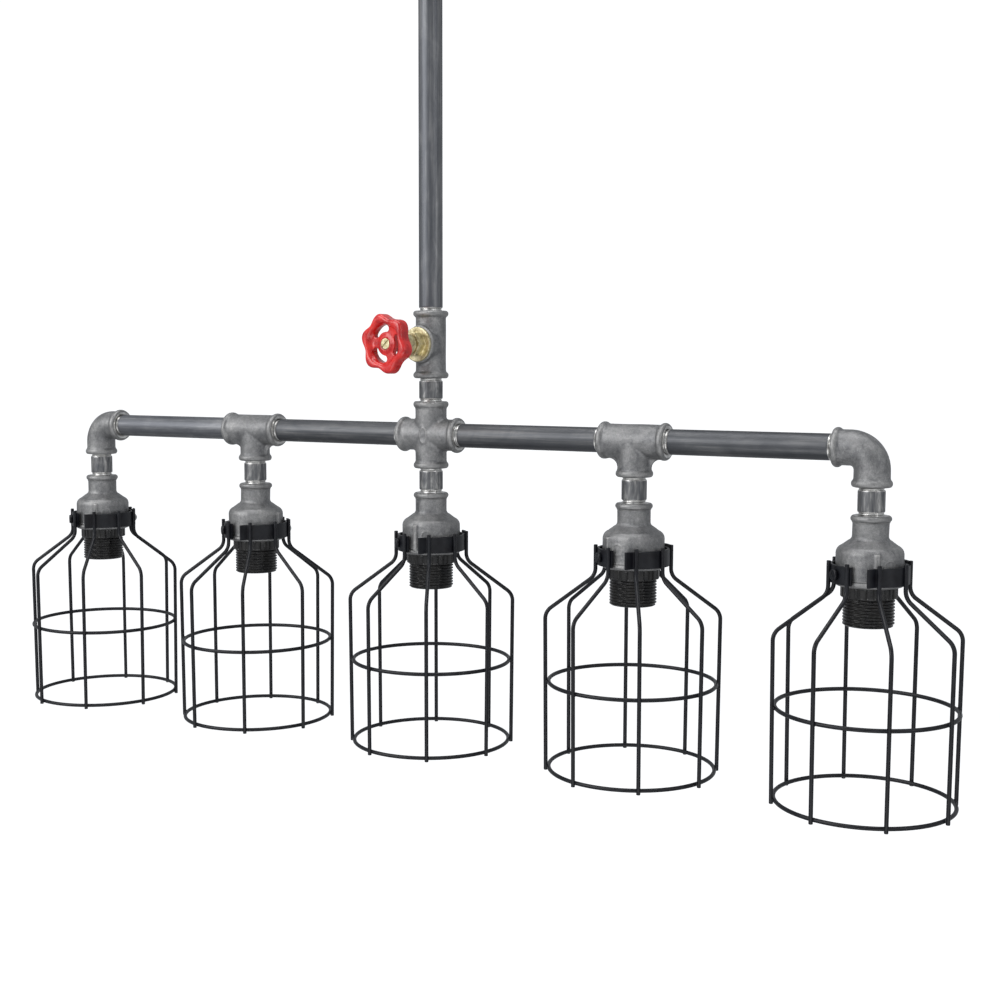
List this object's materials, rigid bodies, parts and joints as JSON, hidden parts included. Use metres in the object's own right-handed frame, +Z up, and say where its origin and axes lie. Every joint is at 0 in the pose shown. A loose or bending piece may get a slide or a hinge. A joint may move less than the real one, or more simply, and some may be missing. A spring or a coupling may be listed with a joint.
{
  "type": "hanging pipe light bar",
  "caption": "Bar of threaded iron pipe hung from a drop pipe with a red valve handwheel, carrying a row of downward lampholders in wire guards",
  "frame": {"origin": "centre of the ceiling flange's top face", "axes": "+X along the bar, to the right as seen from the front; +Y away from the viewer; +Z up"},
  "size_m": [0.9452, 0.1452, 0.692],
  "materials": {
    "ceiling_flange": "bare grey cast iron, fine sand texture, soft sheen",
    "valve_tee": "bare grey cast iron, fine sand texture, soft sheen",
    "cross": "bare grey cast iron, fine sand texture, soft sheen",
    "drop_pipe": "dark mill scale with bright cut threads",
    "stem_nipple": "dark mill scale with bright cut threads",
    "inner_pipe_left": "dark mill scale with bright cut threads",
    "tee_left": "bare grey cast iron, fine sand texture, soft sheen",
    "outer_pipe_left": "dark mill scale with bright cut threads",
    "elbow_left": "bare grey cast iron, fine sand texture, soft sheen",
    "inner_pipe_right": "dark mill scale with bright cut threads",
    "tee_right": "bare grey cast iron, fine sand texture, soft sheen",
    "outer_pipe_right": "dark mill scale with bright cut threads",
    "elbow_right": "bare grey cast iron, fine sand texture, soft sheen",
    "lamp_nipple_1": "dark mill scale with bright cut threads",
    "bell_1": "bare grey cast iron, fine sand texture, soft sheen",
    "holder_skirt_1": "moulded phenolic, glossy",
    "holder_base_1": "unglazed white ceramic",
    "screw_shell_1": "turned, bright",
    "centre_contact_1": "turned, bright",
    "guard_1": "satin black enamel",
    "lamp_nipple_2": "dark mill scale with bright cut threads",
    "bell_2": "bare grey cast iron, fine sand texture, soft sheen",
    "holder_skirt_2": "moulded phenolic, glossy",
    "holder_base_2": "unglazed white ceramic",
    "screw_shell_2": "turned, bright",
    "centre_contact_2": "turned, bright",
    "guard_2": "satin black enamel",
    "lamp_nipple_3": "dark mill scale with bright cut threads",
    "bell_3": "bare grey cast iron, fine sand texture, soft sheen",
    "holder_skirt_3": "moulded phenolic, glossy",
    "holder_base_3": "unglazed white ceramic",
    "screw_shell_3": "turned, bright",
    "centre_contact_3": "turned, bright",
    "guard_3": "satin black enamel",
    "lamp_nipple_4": "dark mill scale with bright cut threads",
    "bell_4": "bare grey cast iron, fine sand texture, soft sheen",
    "holder_skirt_4": "moulded phenolic, glossy",
    "holder_base_4": "unglazed white ceramic",
    "screw_shell_4": "turned, bright",
    "centre_contact_4": "turned, bright",
    "guard_4": "satin black enamel",
    "lamp_nipple_5": "dark mill scale with bright cut threads",
    "bell_5": "bare grey cast iron, fine sand texture, soft sheen",
    "holder_skirt_5": "moulded phenolic, glossy",
    "holder_base_5": "unglazed white ceramic",
    "screw_shell_5": "turned, bright",
    "centre_contact_5": "turned, bright",
    "guard_5": "satin black enamel",
    "guard_screws": "bright plated steel",
    "terminal_screws": "turned, bright",
    "wiring": "insulation on flexible leads",
    "splice_block": "insulation on flexible leads",
    "bonnet": "turned, bright",
    "gland_nut": "turned, bright",
    "gland_packing": "braided packing",
    "spindle": "turned, bright",
    "jumper": "turned, bright",
    "valve_washer": "moulded rubber",
    "handwheel": "glossy red enamel on a cast wheel",
    "wheel_screw": "turned, bright"
  },
  "bodies": {
    "fixture": {"ceiling_flange": "ceiling_flange", "valve_tee": "valve_tee", "cross": "cross", "drop_pipe": "drop_pipe", "stem_nipple": "stem_nipple", "inner_pipe_left": "inner_pipe_left", "tee_left": "tee_left", "outer_pipe_left": "outer_pipe_left", "elbow_left": "elbow_left", "inner_pipe_right": "inner_pipe_right", "tee_right": "tee_right", "outer_pipe_right": "outer_pipe_right", "elbow_right": "elbow_right", "lamp_nipple_1": "lamp_nipple_1", "bell_1": "bell_1", "holder_skirt_1": "holder_skirt_1", "holder_base_1": "holder_base_1", "screw_shell_1": "screw_shell_1", "guard_1": "guard_1", "lamp_nipple_2": "lamp_nipple_2", "bell_2": "bell_2", "holder_skirt_2": "holder_skirt_2", "holder_base_2": "holder_base_2", "screw_shell_2": "screw_shell_2", "guard_2": "guard_2", "lamp_nipple_3": "lamp_nipple_3", "bell_3": "bell_3", "holder_skirt_3": "holder_skirt_3", "holder_base_3": "holder_base_3", "screw_shell_3": "screw_shell_3", "guard_3": "guard_3", "lamp_nipple_4": "lamp_nipple_4", "bell_4": "bell_4", "holder_skirt_4": "holder_skirt_4", "holder_base_4": "holder_base_4", "screw_shell_4": "screw_shell_4", "guard_4": "guard_4", "lamp_nipple_5": "lamp_nipple_5", "bell_5": "bell_5", "holder_skirt_5": "holder_skirt_5", "holder_base_5": "holder_base_5", "screw_shell_5": "screw_shell_5", "guard_5": "guard_5", "guard_screws": "guard_screws", "terminal_screws": "terminal_screws", "wiring": "wiring", "splice_block": "splice_block", "bonnet": "bonnet", "gland_nut": "gland_nut", "gland_packing": "gland_packing"},
    "valve_plug": {"jumper": "jumper", "valve_washer": "valve_washer"},
    "valve_spindle": {"spindle": "spindle", "handwheel": "handwheel", "wheel_screw": "wheel_screw"},
    "contact_1": {"centre_contact_1": "centre_contact_1"},
    "contact_2": {"centre_contact_2": "centre_contact_2"},
    "contact_3": {"centre_contact_3": "centre_contact_3"},
    "contact_4": {"centre_contact_4": "centre_contact_4"},
    "contact_5": {"centre_contact_5": "centre_contact_5"}
  },
  "joints": [
    {"name": "valve_lift", "type": "slide", "parent": "fixture", "child": "valve_plug", "axis": [-0.1736, -0.9848, 0], "range_m": [-0.002, 0.004]},
    {"name": "valve_turn", "type": "hinge", "parent": "valve_plug", "child": "valve_spindle", "pos_m": [0, 0, -0.329], "axis": [-0.1736, -0.9848, 0], "range_deg": [-360, 720]},
    {"name": "contact_press_1", "type": "slide", "parent": "fixture", "child": "contact_1", "axis": [0, 0, 1], "range_m": [0, 0.0015], "stiffness_N_per_m": 400, "springref_m": -0.001},
    {"name": "contact_press_2", "type": "slide", "parent": "fixture", "child": "contact_2", "axis": [0, 0, 1], "range_m": [0, 0.0015], "stiffness_N_per_m": 400, "springref_m": -0.001},
    {"name": "contact_press_3", "type": "slide", "parent": "fixture", "child": "contact_3", "axis": [0, 0, 1], "range_m": [0, 0.0015], "stiffness_N_per_m": 400, "springref_m": -0.001},
    {"name": "contact_press_4", "type": "slide", "parent": "fixture", "child": "contact_4", "axis": [0, 0, 1], "range_m": [0, 0.0015], "stiffness_N_per_m": 400, "springref_m": -0.001},
    {"name": "contact_press_5", "type": "slide", "parent": "fixture", "child": "contact_5", "axis": [0, 0, 1], "range_m": [0, 0.0015], "stiffness_N_per_m": 400, "springref_m": -0.001}
  ],
  "couplings": [
    {"joint": "valve_lift", "follows": "valve_turn", "m_per_rad": 0.00031831}
  ]
}
